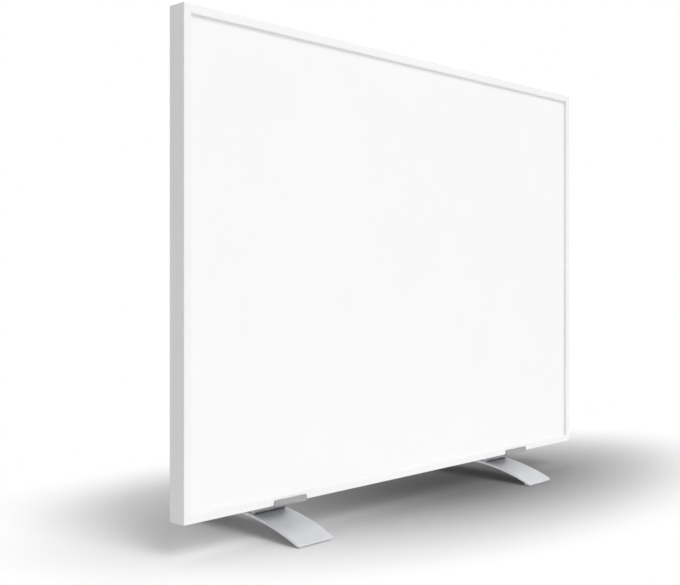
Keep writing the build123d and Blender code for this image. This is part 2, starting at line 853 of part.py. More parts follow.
def lead_wires():
    """The leads from the terminal block to cut-outs, bus bars and earth stud."""
    low, high = tap_heights()
    lower, upper = cutout_heights
    blade_reach = blade_spacing / 2 + blade_sheet / 2
    inside = wire_set_back
    side = wire_radius + key_gap
    clamp = terminal_middle - terminal_height / 2
    clamp_end = clamp + terminal_wire_reach
    deep = terminal_wire_depth
    live_x, neutral_x = lead_x + side, lead_x - side
    live_entry = grommet_height + wire_bend
    live = [
        (terminal_pitch, deep, clamp_end),
        (terminal_pitch, deep, clamp - 2 * wire_bend),
        (live_x, deep, live_entry),
        (live_x, inside, live_entry),
        (live_x, inside, lower - blade_reach),
    ]
    neutral = [
        (0, deep, clamp_end),
        (0, deep, clamp - 4 * wire_bend),
        (neutral_x, deep, grommet_height),
        (neutral_x, inside, grommet_height),
        (neutral_x, inside, low),
        (neutral_x, stripe_back, low),
    ]
    lug_bottom = grommet_height + lug_radius + lug_barrel_length / 2
    earth = [
        (-terminal_pitch, deep, clamp_end),
        (-terminal_pitch, deep, clamp - wire_bend),
        (stud_x, lug_wire_depth, clamp - wire_bend),
        (stud_x, lug_wire_depth, lug_bottom),
    ]
    link = [(lead_x, inside, lower + blade_reach), (lead_x, inside, upper - blade_reach)]
    upper_link = [
        (lead_x, inside, upper + blade_reach),
        (lead_x, inside, high),
        (lead_x, stripe_back, high),
    ]
    return {
        "wire_live": wire(live, wire_bend / 2),
        "wire_neutral": wire(neutral, wire_bend / 2),
        "wire_earth": wire(earth, wire_bend / 2),
        "wire_link_lower": wire(link, wire_bend),
        "wire_link_upper": wire(upper_link, wire_bend),
    }


# ---------------------------------------------------------------- wall hangers
def hanger_places():
    """The four hangers' keyhole centres, as (x, height)."""
    middle = panel_height / 2
    x_side, z_side = hanger_spacing_x / 2, hanger_spacing_z / 2
    return [(x, middle + z) for x in (-x_side, x_side) for z in (-z_side, z_side)]


def hanger():
    """Z-shaped sheet: foot on the cover, web, and a platform with an upright keyhole."""
    platform_front = cover_back + hanger_stand_off - hanger_sheet
    platform_back = cover_back + hanger_stand_off
    web_top = -keyhole_rise
    web_bottom = web_top - hanger_sheet
    half = hanger_width / 2
    foot = block((-half, half), (cover_back, cover_back + hanger_sheet), (web_top - hanger_foot, web_top))
    web = block((-half, half), (cover_back, platform_back), (web_bottom, web_top))
    platform = block((-half, half), (platform_front, platform_back), (web_bottom, web_bottom + hanger_platform))
    part = foot + web + platform
    outer = hanger_bend + hanger_sheet
    part = fillet(edges_at(part, cover_back, web_top), outer)
    part = fillet(edges_at(part, cover_back + hanger_sheet, web_bottom), hanger_bend)
    part = fillet(edges_at(part, platform_back, web_bottom), outer)
    part = fillet(edges_at(part, platform_front, web_top), hanger_bend)
    tips = [e for e in part.edges().filter_by(Axis.Y) if e.length < hanger_sheet + 0.01]
    part = chamfer(tips, hanger_corner)
    part -= cylinder(0, 0, keyhole_radius, platform_front, platform_back)
    neck_half = keyhole_neck_width / 2
    neck_top = keyhole_radius + keyhole_neck_length - neck_half
    part -= block((-neck_half, neck_half), (platform_front, platform_back), (0, neck_top))
    part -= rod(0, neck_top, neck_half, platform_front, platform_back)
    for side in (-1, 1):
        hole = rivet_radius + thread_gap
        x = side * rivet_spacing / 2
        part -= rod(x, -hanger_rivet_drop, hole, cover_back, cover_back + hanger_sheet)
    return part


# ---------------------------------------------------------------- feet
def on_seat(shape, x, radius):
    """Turns an upright shape so that it stands square on the bow at the screws' angle."""
    place = Pos(0, 0, bow_centre_z) * Rot(X=screw_angle) * Pos(x, 0, radius)
    return place * shape


def screw_xs():
    """The two screws' places across the foot."""
    return (-foot_screw_spacing / 2, foot_screw_spacing / 2)


def bow():
    """Bowed plate that the foot stands on, its tips rounded in plan."""
    sheet = sector(bow_radius - bow_sheet, bow_radius, -bow_half_angle, bow_half_angle)
    plate = along_x(sheet, bow_width)
    tips = [e for e in plate.edges() if abs(e.length - bow_sheet) < 0.01]
    plate = fillet(tips, bow_corner_radius)
    for x in screw_xs():
        plate -= on_seat(small_rod(foot_screw_radius + key_gap, 4 * bow_sheet), x, bow_radius)
    return plate


def cradle():
    """Bent sheet: front lip, shelf, drop and curved seat, with a rear tongue lanced from it."""
    y0, z0 = panel_front_y, panel_bottom_z

    def strip(depth, height):
        size = (depth[1] - depth[0], height[1] - height[0])
        centre = (y0 + sum(depth) / 2, z0 + sum(height) / 2)
        return Pos(*centre) * Rectangle(*size)

    lip_depth = (-cradle_gap - cradle_sheet, -cradle_gap)
    drop_depth = (drop_set_back, drop_set_back + cradle_sheet)
    lip = strip(lip_depth, (-cradle_sheet, lip_height))
    shelf = strip((lip_depth[0], drop_depth[1]), (-cradle_sheet, 0))
    drop = strip(drop_depth, (-panel_bottom_z, 0)) - Pos(0, bow_centre_z) * Circle(seat_radius)
    seat = sector(seat_radius, seat_radius + cradle_sheet, drop_angle - seat_angle, drop_angle)
    part = along_x(lip + shelf + drop + seat, cradle_width)

    outer = bend + cradle_sheet
    drop_front, drop_back = y0 + drop_depth[0], y0 + drop_depth[1]
    seat_front_z = bow_centre_z + math.sqrt(seat_radius**2 - drop_front**2)
    seat_top = seat_radius + cradle_sheet
    seat_back_z = bow_centre_z + math.sqrt(seat_top**2 - drop_back**2)
    part = fillet(edges_at(part, y0 + lip_depth[0], z0 - cradle_sheet), front_bend)
    part = fillet(edges_at(part, drop_back, z0), outer)
    part = fillet(edges_at(part, drop_front, z0 - cradle_sheet), bend)
    part = fillet(edges_at(part, drop_front, seat_front_z), outer)
    part = fillet(edges_at(part, drop_back, seat_back_z), bend)

    half = tongue_width / 2
    window_x = (-half - relief_slot, half + relief_slot)
    through = (z0 - 2 * cradle_sheet, z0 + cradle_sheet)
    part -= block(window_x, (y0 + window_margin, y0 + tongue_front), through)
    for side in (-1, 1):
        slot_x = sorted((side * half, side * (half + relief_slot)))
        part -= block(slot_x, (y0 + window_margin, y0 + tongue_back + bend), through)
    tongue_y = (y0 + tongue_front, y0 + tongue_back)
    tongue = block((-half, half), tongue_y, (z0 - cradle_sheet, z0 + tongue_height))
    tongue = fillet(tongue.edges().filter_by(Axis.Y).sort_by(Axis.Z)[-2:], tongue_corner_radius)
    part += tongue
    part = fillet(edges_at(part, y0 + tongue_front, z0 - cradle_sheet), front_bend)

    lip_tips = [e for e in part.edges().filter_by(Axis.Y) if abs(e.center().Z - z0 - lip_height) < 0.01]
    part = fillet(lip_tips, lip_corner_radius)
    for x in screw_xs():
        part -= on_seat(small_rod(foot_screw_radius + key_gap, 4 * cradle_sheet), x, seat_radius)
    return part


def grip_pad():
    """Rubber pad on the tongue that grips the panel's rear side."""
    depth = (tongue_front - grip_sheet, tongue_front)
    height = (grip_rise, grip_rise + grip_height)
    return in_panel(block((-grip_width / 2, grip_width / 2), depth, height))


def floor_pads():
    """Rubber strips under both tips: flat on the floor, bowed on top to fit the plate."""
    inside = Pos(0, bow_centre_z) * Circle(bow_radius - bow_sheet - glue_gap)
    middle = bow_length / 2 - pad_inset - pad_length / 2
    pads = []
    for side in (-1, 1):
        blank = Pos(side * middle, crown_z / 2) * Rectangle(pad_length, crown_z)
        pads.append(along_x(blank & inside, pad_width))
    return pads


def foot_screws():
    """Button-head screws through cradle and bow."""
    seat = seat_radius + cradle_sheet
    length = cradle_sheet + seat_gap + bow_sheet + nut_height + screw_end_beyond_nut
    shank = Pos(0, 0, -length / 2) * small_rod(foot_screw_radius, length)
    head = small_cone(foot_screw_head_radius, foot_screw_top_radius, foot_screw_head_height)
    head = Pos(0, 0, foot_screw_head_height / 2) * head
    socket = extrude(RegularPolygon(foot_screw_socket / 2, 6, major_radius=False), amount=foot_screw_head_height)
    socket = Pos(0, 0, foot_screw_head_height - foot_screw_socket_depth) * socket
    screw = shank + head - socket
    return [on_seat(screw, x, seat) for x in screw_xs()]


def foot_nuts():
    """Hexagon nuts under the bow."""
    nut = extrude(RegularPolygon(nut_across_flats / 2, 6, major_radius=False), amount=nut_height)
    nut -= small_rod(foot_screw_radius + thread_gap, 4 * nut_height)
    return [on_seat(nut, x, bow_radius - bow_sheet - nut_height - thread_gap) for x in screw_xs()]


# ---------------------------------------------------------------- all nodes
def panel_nodes():
    """Every node of the panel, in panel coordinates."""
    nodes = {**frame_bars(), **corner_keys()}
    nodes["front_plate"] = front_plate()
    nodes["edge_gasket"] = edge_gasket()
    nodes["heating_film"] = layer(layer_inset, plate_back, film_back)
    nodes["carbon_stripes"] = carbon_stripes()
    nodes["bus_bar_bottom"] = bus_bar(layer_inset)
    nodes["bus_bar_top"] = bus_bar(panel_height - layer_inset - bus_bar_width)
    nodes["mica_cover"] = mica_cover()
    nodes["reflector_foil"] = reflector_foil()
    nodes["insulation_board"] = insulation_board()
    nodes["thermal_cutout_lower"] = thermal_cutout(cutout_heights[0])
    nodes["thermal_cutout_upper"] = thermal_cutout(cutout_heights[1])
    nodes["rear_cover"] = rear_cover()
    nodes["cover_screws"] = cover_screws()
    nodes["cover_grommet"] = cover_grommet()
    nodes["earth_stud"] = earth_stud()
    nodes["earth_nut"] = earth_nut()
    nodes["junction_box"] = junction_box()
    nodes["junction_box_rivets"] = [rivet(x, height, box_wall) for x, height in box_rivet_places()]
    nodes["junction_lid"] = junction_lid()
    nodes["lid_screws"] = lid_screws()
    nodes["terminal_block"] = terminal_block()
    nodes["terminal_sleeves"] = terminal_sleeves()
    nodes["terminal_screws"] = terminal_screws()
    nodes["earth_lug"] = earth_lug()
    nodes.update(gland_parts())
    nodes.update(lead_wires())
    sides = ("left", "left", "right", "right")
    levels = ("lower", "upper", "lower", "upper")
    for (x, height), side, level in zip(hanger_places(), sides, levels):
        nodes["hanger_" + level + "_" + side] = Pos(x, 0, height) * hanger()
    nodes["hanger_rivets"] = [rivet(x, height, hanger_sheet) for x, height in rivet_places()]
    return nodes


def foot_nodes():
    """Every node of one foot, built about X = 0."""
    return {
        "bow": bow(),
        "cradle": cradle(),
        "grip_pad": grip_pad(),
        "floor_pads": floor_pads(),
        "screws": foot_screws(),
        "nuts": foot_nuts(),
    }


def main():
    os.makedirs("parts", exist_ok=True)
    for name, shape in panel_nodes().items():
        shapes = shape if isinstance(shape, list) else [shape]
        save([in_panel(part) for part in shapes], name)
    for name, shape in foot_nodes().items():
        shapes = shape if isinstance(shape, list) else [shape]
        for side, x in (("left", -foot_x), ("right", foot_x)):
            save([Pos(x, 0, 0) * part for part in shapes], "foot_" + side + "_" + name)


if __name__ == "__main__":
    main()
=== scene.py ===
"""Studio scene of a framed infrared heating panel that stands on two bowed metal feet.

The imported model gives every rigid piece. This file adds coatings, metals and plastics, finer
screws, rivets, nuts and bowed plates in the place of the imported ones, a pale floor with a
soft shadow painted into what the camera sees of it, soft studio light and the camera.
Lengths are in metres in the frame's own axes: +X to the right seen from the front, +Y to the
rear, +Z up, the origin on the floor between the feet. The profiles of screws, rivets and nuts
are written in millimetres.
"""

import math

import bmesh
import bpy
import numpy as np
from bpy.props import FloatProperty, FloatVectorProperty, IntProperty, PointerProperty
from bpy.types import Operator, Panel, PropertyGroup
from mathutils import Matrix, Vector


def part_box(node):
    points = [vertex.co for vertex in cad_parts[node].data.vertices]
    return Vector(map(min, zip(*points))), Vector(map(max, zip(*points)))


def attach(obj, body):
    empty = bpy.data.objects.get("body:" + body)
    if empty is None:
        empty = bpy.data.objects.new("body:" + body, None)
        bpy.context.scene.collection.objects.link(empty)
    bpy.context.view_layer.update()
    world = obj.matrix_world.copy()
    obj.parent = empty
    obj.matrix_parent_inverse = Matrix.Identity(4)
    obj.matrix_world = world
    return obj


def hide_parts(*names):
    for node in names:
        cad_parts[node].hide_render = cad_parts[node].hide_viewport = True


bl_info = {
    "name": "Infrared panel heater",
    "version": (1, 0, 0),
    "blender": (4, 5, 0),
    "location": "View3D > Sidebar > Heater",
    "description": "Finishes, small turned pieces and studio for a framed heating panel",
    "category": "Object",
}

MM = 0.001
SHARP_ANGLE = math.radians(32)
WHITE = (1, 1, 1, 1)
NOISE_SPAN = (0.3, 0.7)

# soft lights: turn from the front towards the left, rise above the floor and softness, in degrees
LIGHT_PLACES = {"main": (8, 42, 32), "broad": (-20, 32, 90), "rear": (170, 60, 60)}
SENSOR_WIDTH = 36.0
FLOOR_REACH = 14.0
FLOOR_LINES = 15

# points along the bowed plate's rounded tips and its span, and round its section, and how much
# of the edge's round the plate's thickness loses at the very tip
TIP_STEPS = 14
SPAN_STEPS = 72
ROUND_STEPS = 5
FLAT_STEPS = 13
TIP_THINNING = 0.9

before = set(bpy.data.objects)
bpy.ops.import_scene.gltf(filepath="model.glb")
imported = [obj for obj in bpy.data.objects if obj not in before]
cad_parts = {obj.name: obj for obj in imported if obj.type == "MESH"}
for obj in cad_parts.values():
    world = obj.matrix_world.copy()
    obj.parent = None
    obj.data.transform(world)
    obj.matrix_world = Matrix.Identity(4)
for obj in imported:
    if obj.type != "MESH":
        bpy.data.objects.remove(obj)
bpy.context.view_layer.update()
SIDES = ("left", "right")
HANGERS = [f"hanger_{level}_{side}" for level in ("lower", "upper") for side in SIDES]


# ---------------------------------------------------------------- settings
def colour(name, description, default):
    """A colour setting, written as it renders under plain light."""
    return FloatVectorProperty(
        name=name, description=description, default=default, size=3, min=0.0, max=1.0,
        subtype="COLOR"
    )


def length(name, description, millimetres):
    """A length setting, its default given in millimetres."""
    return FloatProperty(
        name=name, description=description, default=millimetres * MM, min=0.0,
        subtype="DISTANCE", unit="LENGTH"
    )


def angle(name, description, degrees):
    """An angle setting, its default given in degrees."""
    return FloatProperty(
        name=name, description=description, default=math.radians(degrees), subtype="ANGLE"
    )


def number(name, description, default, low=0.0, high=1000.0):
    """A plain number setting between two limits."""
    return FloatProperty(name=name, description=description, default=default, min=low, max=high)


def floor_pair(name, description, default, low=-10.0):
    """A setting of two lengths on the floor, along X and Y."""
    return FloatVectorProperty(
        name=name, description=description, default=default, size=2, min=low, unit="LENGTH"
    )


class HeaterFinish(PropertyGroup):
    """Colours of the coatings, metals, plastics and rubbers."""

    coat: colour("Frame coat", "Powder coat of the frame bars", (0.886, 0.886, 0.89))
    plate: colour("Plate coat", "Fine coat of the radiating plate", (0.90, 0.90, 0.905))
    cover: colour("Rear cover coat", "Coat of the rear cover", (0.86, 0.86, 0.86))
    bow: colour("Bow metal", "Satin metal of the bowed plates", (0.64, 0.65, 0.67))
    cradle: colour("Cradle metal", "Rolled metal of the bent cradles", (0.34, 0.343, 0.348))
    zinc: colour("Zinc", "Bright zinc of screws, rivets and hangers", (0.55, 0.56, 0.57))
    moulding: colour("Moulding", "Light grey plastic of the junction box", (0.60, 0.61, 0.60))
    rubber: colour("Pad rubber", "Rubber of the pads under the feet", (0.55, 0.55, 0.54))
    coated_edge: length("Coated edge", "Rounding that the coat gives to edges under it", 0.5)
    sheet_edge: length("Sheet edge", "Rounding of deburred sheet edges", 0.3)
    moulded_edge: length("Moulded edge", "Rounding of the mouldings' edges", 0.8)


class HeaterStudio(PropertyGroup):
    """Camera, floor and light."""

    lens: number("Lens", "Focal length on a 36 mm wide sensor, in millimetres", 53.35, 20, 120)
    turn: angle("Camera turn", "Turn of the line of sight away from +Y, towards +X", 46.303)
    place: FloatVectorProperty(
        name="Camera place", description="Where the camera stands",
        default=(-0.9505, -0.8441, 0.2774), size=3, unit="LENGTH"
    )
    horizon: number(
        "Horizon", "Height of the horizon above the image's middle, as a share of its width", 0.0230,
        low=-0.5, high=0.5
    )
    floor_colour: colour("Floor", "Colour of the floor", (0.92, 0.92, 0.92))
    fade_from: length("Fade from", "Distance at which the floor starts to turn white", 500.0)
    fade_to: length("Fade to", "Distance at which the floor is plain white", 950.0)
    fade_shape: number(
        "Fade shape", "How many times sooner the floor turns white along Y than along X", 2.3,
        low=0.1
    )
    sky: number("Room light", "Strength of the even light all round", 0.28)
    main: number("Main light", "Strength of the soft light in front", 1.17)
    broad: number("Broad light", "Strength of the very broad light in front", 0.98)
    rear: number("Rear light", "Strength of the soft light high at the rear", 0.62)
    # shade, with the shade middle and reach, sets a soft shadow painted into the colour of the floor
    # that the camera sees
    shade: number("Soft shade", "Depth of the soft shade on the floor", 0.87, high=1)
    painted_shade_middle: floor_pair("Shade middle", "Where the soft shade is deepest", (0.14, -0.015))
    painted_shade_reach: floor_pair("Shade reach", "How far the soft shade reaches", (0.74, 0.40), low=0.01)
    floor_gain: number("Floor gain", "The seen floor's brightness against its real colour", 1.33)


class HeaterSizes(PropertyGroup):
    """Sizes of the pieces that this file makes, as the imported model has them."""

    bow_length: length("Bow length", "Chord of the bowed plate, tip to tip", 210.0)
    bow_width: length("Bow width", "Width of the bowed plate", 52.0)
    bow_sheet: length("Bow sheet", "Thickness of the bowed plate", 2.5)
    bow_rise: length("Bow rise", "Height of the bow's crown over its tips", 21.6)
    bow_corner: length("Bow corner", "Rounding of the plate's corners in plan", 4.0)
    bow_edge: length("Bow edge", "Rounding of the plate's sheared edges", 0.35)
    cradle_sheet: length("Cradle sheet", "Thickness of the bent sheet on the bow", 2.0)
    seat_gap: length("Seat gap", "Clearance between cradle and bow", 0.1)
    foot_screw_angle: angle("Foot screw angle", "Lean of the foot screws to the front", 3.683)
    foot_screw_spacing: length("Foot screw spacing", "Distance between a foot's screws", 26.0)
    nut_flats: length("Nut", "Size across the flats of the foot nuts", 7.0)
    nut_height: length("Nut height", "Height of the foot nuts", 3.2)
    nut_gap: length("Nut gap", "Clearance between nut and bow", 0.05)
    cover_screw_inset: length("Cover screw inset", "Distance from the frame's outer side", 8.0)
    cover_screw_end: length("Cover screw end", "Distance from the panel's corners", 82.5)
    lid_screw_inset: length("Lid screw inset", "Lid screws' distance from the box's sides", 6.5)
    rivet_spacing: length("Rivet spacing", "Distance between a hanger's two rivets", 22.0)
    rivet_rise: length("Rivet rise", "Height of a hanger's rivets over its lower end", 11.0)
    hanger_sheet: length("Hanger sheet", "Thickness of the hangers' sheet", 1.5)
    gland_ribs: IntProperty(
        name="Gland ribs", description="Grip ribs round the cable gland's nut", default=20,
        min=6, max=40
    )


# ---------------------------------------------------------------- nodes
def new_material(name):
    """An empty node material and its tree, with a principled shader on its output."""
    material = bpy.data.materials.new(name)
    material.use_nodes = True
    tree = material.node_tree
    tree.nodes.clear()
    output = tree.nodes.new("ShaderNodeOutputMaterial")
    shader = tree.nodes.new("ShaderNodeBsdfPrincipled")
    tree.links.new(shader.outputs["BSDF"], output.inputs["Surface"])
    return material, tree, shader


def node(tree, kind, inputs=None, **settings):
    """A node of one kind with its settings and its inputs, each a value or a socket."""
    made = tree.nodes.new(kind)
    for key, value in settings.items():
        setattr(made, key, value)
    for key, value in (inputs or {}).items():
        if isinstance(value, bpy.types.NodeSocket):
            tree.links.new(value, made.inputs[key])
        else:
            made.inputs[key].default_value = value
    return made


def stretched(tree, scale, shift=(0, 0, 0)):
    """Object coordinates in metres, scaled differently along each axis and then shifted."""
    place = node(tree, "ShaderNodeTexCoord").outputs["Object"]
    made = node(tree, "ShaderNodeMapping", {"Vector": place, "Location": shift, "Scale": scale})
    return made.outputs["Vector"]


def distance(tree, vector):
    """How long a vector is."""
    made = node(tree, "ShaderNodeVectorMath", {0: vector}, operation="LENGTH")
    return made.outputs["Value"]


def noise(tree, scale, detail=3.0, stretch=(1, 1, 1)):
    """Noise over the object's own space: scale is in repeats to the metre."""
    vector = stretched(tree, stretch)
    made = node(tree, "ShaderNodeTexNoise", {"Vector": vector, "Scale": scale, "Detail": detail})
    return made.outputs["Fac"]


def ramp(tree, value, start, end, low, high, ease="LINEAR"):
    """A number that runs from low to high as value runs from start to end."""
    made = node(
        tree, "ShaderNodeMapRange",
        {"Value": value, "From Min": start, "From Max": end, "To Min": low, "To Max": high},
        interpolation_type=ease
    )
    return made.outputs["Result"]


def between(tree, factor, low, high):
    """A number that runs from low to high over the span that noise mostly has."""
    return ramp(tree, factor, *NOISE_SPAN, low, high)


def mixed(tree, factor, first, second, blend="MIX"):
    """One colour mixed with another: inputs 0, 6, 7 and output 2 are the colour mix's own."""
    made = node(
        tree, "ShaderNodeMix", {0: factor, 6: first, 7: second}, data_type="RGBA",
        blend_type=blend
    )
    return made.outputs[2]


def combined(tree, first, second, operation):
    """Two numbers combined by one operation."""
    return node(tree, "ShaderNodeMath", {0: first, 1: second}, operation=operation).outputs[0]


def tinted(tree, factor, base, spread):
    """The base colour, made darker and lighter by spread as factor varies."""
    low = tuple(channel * (1 - spread) for channel in base) + (1,)
    high = tuple(min(1.0, channel * (1 + spread)) for channel in base) + (1,)
    return mixed(tree, between(tree, factor, 0.0, 1.0), low, high)


def bump(tree, height, depth, strength, below=None):
    """Bump of a real depth in millimetres. below is a bump that this one lies on."""
    inputs = {"Height": height, "Distance": depth * MM, "Strength": strength}
    if below is not None:
        inputs["Normal"] = below
    return node(tree, "ShaderNodeBump", inputs).outputs["Normal"]


def rounded(tree, edge):
    """A normal that turns smoothly over sharp edges within edge. None without an edge."""
    if not edge:
        return None
    return node(tree, "ShaderNodeBevel", {"Radius": edge}, samples=8).outputs["Normal"]


# ---------------------------------------------------------------- materials
def powder_coat(name, base, grain=1400.0, depth=0.02, roughness=(0.42, 0.55), lines=0.0, edge=0.0):
    """Baked powder coat: fine orange peel, slight tone drift and, on extrusions, die lines."""
    material, tree, shader = new_material(name)
    normal = rounded(tree, edge)
    drift, peel = noise(tree, 9.0, detail=2.0), noise(tree, grain, detail=2.0)
    shade = tinted(tree, drift, base, spread=0.006)
    if lines:
        die = noise(tree, 1.0, detail=4.0, stretch=(3.0, 520.0, 3.0))
        streaks = mixed(tree, between(tree, die, 0, 1), (1 - lines,) * 3 + (1,), WHITE)
        shade = mixed(tree, 1.0, shade, streaks, "MULTIPLY")
        normal = bump(tree, die, depth=0.03, strength=0.5, below=normal)
    normal = bump(tree, peel, depth, strength=0.6, below=normal)
    dulling = between(tree, noise(tree, 60.0), *roughness)
    tree.links.new(shade, shader.inputs["Base Color"])
    tree.links.new(dulling, shader.inputs["Roughness"])
    tree.links.new(normal, shader.inputs["Normal"])
    return material


def rolled_metal(name, base, along, roughness=(0.30, 0.42), metallic=1.0, spread=0.05, edge=0.0):
    """Satin metal with hair-fine lines along one axis and soft handling marks."""
    material, tree, shader = new_material(name)
    squeeze = [1.0, 1.0, 1.0]
    squeeze["XYZ".index(along)] = 0.02
    hair = noise(tree, 2600.0, stretch=squeeze)
    cloud = noise(tree, 45.0, detail=4.0)
    normal = bump(tree, hair, depth=0.012, strength=0.5, below=rounded(tree, edge))
    shader.inputs["Metallic"].default_value = metallic
    tree.links.new(tinted(tree, cloud, base, spread), shader.inputs["Base Color"])
    tree.links.new(between(tree, cloud, *roughness), shader.inputs["Roughness"])
    tree.links.new(normal, shader.inputs["Normal"])
    return material


def moulded(name, base, roughness=(0.45, 0.6), grain=2200.0, depth=0.02, spread=0.012, edge=0.0):
    """Spark-eroded plastic or rubber: fine even grain and slight flow marks."""
    material, tree, shader = new_material(name)
    flow, sparks = noise(tree, 30.0), noise(tree, grain, detail=2.0)
    normal = bump(tree, sparks, depth, strength=0.7, below=rounded(tree, edge))
    tree.links.new(tinted(tree, flow, base, spread), shader.inputs["Base Color"])
    tree.links.new(between(tree, flow, *roughness), shader.inputs["Roughness"])
    tree.links.new(normal, shader.inputs["Normal"])
    return material


def bright_zinc(finish):
    """The one bright zinc of all screws, nuts and rivets."""
    made = bpy.data.materials.get("bright_zinc")
    return made or rolled_metal("bright_zinc", tuple(finish.zinc), "Y", (0.22, 0.38))


def gland_moulding(finish):
    """The gland's plastic, a shade darker than the box."""
    made = bpy.data.materials.get("gland_moulding")
    shade = 0.92
    darker = tuple(channel * shade for channel in finish.moulding)
    return made or moulded("gland_moulding", darker, (0.35, 0.45))


def floor_material(studio):
    """Matt paint. What is seen of it has a soft painted oval shadow and turns white with distance.

    Rays that only carry light meet the plain paint, so the painted shadow darkens nothing else.
    """
    material, tree, shader = new_material("floor_paint")
    real = tuple(studio.floor_colour)
    paint = tinted(tree, noise(tree, 500.0, detail=2.0), real, spread=0.004)
    plain = tuple(channel * studio.floor_gain for channel in real) + (1,)
    path = node(tree, "ShaderNodeLightPath")
    camera, gloss = path.outputs["Is Camera Ray"], path.outputs["Is Glossy Ray"]
    # a soft oval shadow painted into the floor's colour, seen only by camera rays
    painted_shade_tone = mixed(tree, 1.0, paint, painted_oval_shade(tree, studio), "MULTIPLY")
    tone = mixed(tree, camera, mixed(tree, gloss, paint, plain), painted_shade_tone)
    tree.links.new(tone, shader.inputs["Base Color"])
    shader.inputs["Roughness"].default_value = 0.9
    shader.inputs["Specular IOR Level"].default_value = 0.0
    white = node(tree, "ShaderNodeEmission", {"Color": WHITE, "Strength": 1.0})
    seen = combined(tree, camera, gloss, "MAXIMUM")
    share = combined(tree, far_share(tree, studio), seen, "MULTIPLY")
    blend = node(
        tree, "ShaderNodeMixShader",
        {0: share, 1: shader.outputs["BSDF"], 2: white.outputs["Emission"]}
    )
    output = tree.get_output_node("ALL")
    tree.links.new(blend.outputs["Shader"], output.inputs["Surface"])
    return material


def painted_oval_shade(tree, studio):
    """Painted shade: floor brightness rising from the shade's middle to the full gain at its reach.
    """
    middle, reach = studio.painted_shade_middle, studio.painted_shade_reach
    scale = (1 / reach[0], 1 / reach[1], 1)
    shift = (-middle[0] / reach[0], -middle[1] / reach[1], 0)
    outwards = distance(tree, stretched(tree, scale, shift))
    darkest = (1 - studio.shade) * studio.floor_gain
    return ramp(tree, outwards, 0.0, 1.0, darkest, studio.floor_gain, "SMOOTHSTEP")


def far_share(tree, studio):
    """Rises from 0 to 1 between the two fade distances, which are shorter along Y."""
    away = distance(tree, stretched(tree, (1, studio.fade_shape, 1)))
    return ramp(tree, away, studio.fade_from, studio.fade_to, 0.0, 1.0, "SMOOTHSTEP")


def room_light(studio):
    """Even light from all round, white where the camera or a gloss looks past the floor."""
    world = bpy.data.worlds.new("room")
    world.use_nodes = True
    tree = world.node_tree
    tree.nodes.clear()
    output = tree.nodes.new("ShaderNodeOutputWorld")
    path = node(tree, "ShaderNodeLightPath").outputs
    seen = combined(tree, path["Is Camera Ray"], path["Is Glossy Ray"], "MAXIMUM")
    seen = combined(tree, seen, path["Is Transmission Ray"], "MAXIMUM")
    strength = ramp(tree, seen, 0.0, 1.0, studio.sky, 1.0)
    light = node(tree, "ShaderNodeBackground", {"Color": WHITE, "Strength": strength})
    tree.links.new(light.outputs["Background"], output.inputs["Surface"])
    return world


# ---------------------------------------------------------------- dressing
def starting(*starts):
    """The CAD nodes whose names start so."""
    return [name for name in sorted(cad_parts) if name.startswith(starts)]


def of_both_feet(part):
    """The CAD nodes of one kind of piece, one to a foot."""
    return [f"foot_{side}_{part}" for side in SIDES]


def dress(names, material):
    """Gives one material to the named CAD nodes."""
    for name in names:
        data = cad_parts[name].data
        data.materials.clear()
        data.materials.append(material)


def finish_piece(piece, material, body, slot, *nodes):
    """Gives a new piece its material and its body, and hides the nodes that it stands for. slot is
    not used.
    """
    piece.data.materials.append(material)
    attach(piece, body)
    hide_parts(*nodes)


# ---------------------------------------------------------------- numpy surfaces
def grid_faces(rows, columns, wrap=False, wrap_rows=False):
    """Quads of a rows by columns grid of points, joined round where a wrap is true."""
    across = columns if wrap else columns - 1
    along = rows if wrap_rows else rows - 1
    row, column = np.meshgrid(np.arange(along), np.arange(across), indexing="ij")
    start, below = row * columns, (row + 1) % rows * columns
    after = (column + 1) % columns
    quads = [start + column, start + after, below + after, below + column]
    return np.stack(quads, -1).reshape(-1, 4)


def in_scene(name, data):
    """A new object in the scene, at the origin."""
    made = bpy.data.objects.new(name, data)
    bpy.context.scene.collection.objects.link(made)
    return made


def closed_mesh(name, points, faces):
    """A closed mesh object: doubles merged, faces outwards, smooth up to the sharp angle."""
    data = bpy.data.meshes.new(name)
    points = np.asarray(points, float).reshape(-1, 3)
    data.from_pydata(points.tolist(), [], np.asarray(faces).reshape(-1, 4).tolist())
    shell = bmesh.new()
    shell.from_mesh(data)
    bmesh.ops.remove_doubles(shell, verts=shell.verts, dist=1e-7)
    bmesh.ops.dissolve_degenerate(shell, edges=shell.edges, dist=1e-8)
    bmesh.ops.recalc_face_normals(shell, faces=shell.faces)
    shell.to_mesh(data)
    shell.free()
    data.polygons.foreach_set("use_smooth", np.ones(len(data.polygons), bool))
    data.set_sharp_from_angle(angle=SHARP_ANGLE)
    return in_scene(name, data)


def open_sheet(name, points):
    """A flat open surface from a grid of points, rows by columns by 3."""
    data = bpy.data.meshes.new(name)
    faces = grid_faces(points.shape[0], points.shape[1])
    data.from_pydata(points.reshape(-1, 3).tolist(), [], faces.tolist())
    data.update()
    return in_scene(name, data)


def copies(points, faces, places):
    """Points and faces repeated at every place, each an origin and three axes as rows."""
    flat = np.asarray(points, float).reshape(-1, 3)
    origins = np.array([origin for origin, axes in places])
    axes = np.array([axes for origin, axes in places])
    moved = origins[:, None, :] + np.einsum("pk,nkj->npj", flat, axes)
    shift = np.arange(len(places))[:, None, None] * len(flat)
    return moved.reshape(-1, 3), (np.asarray(faces)[None] + shift).reshape(-1, 4)


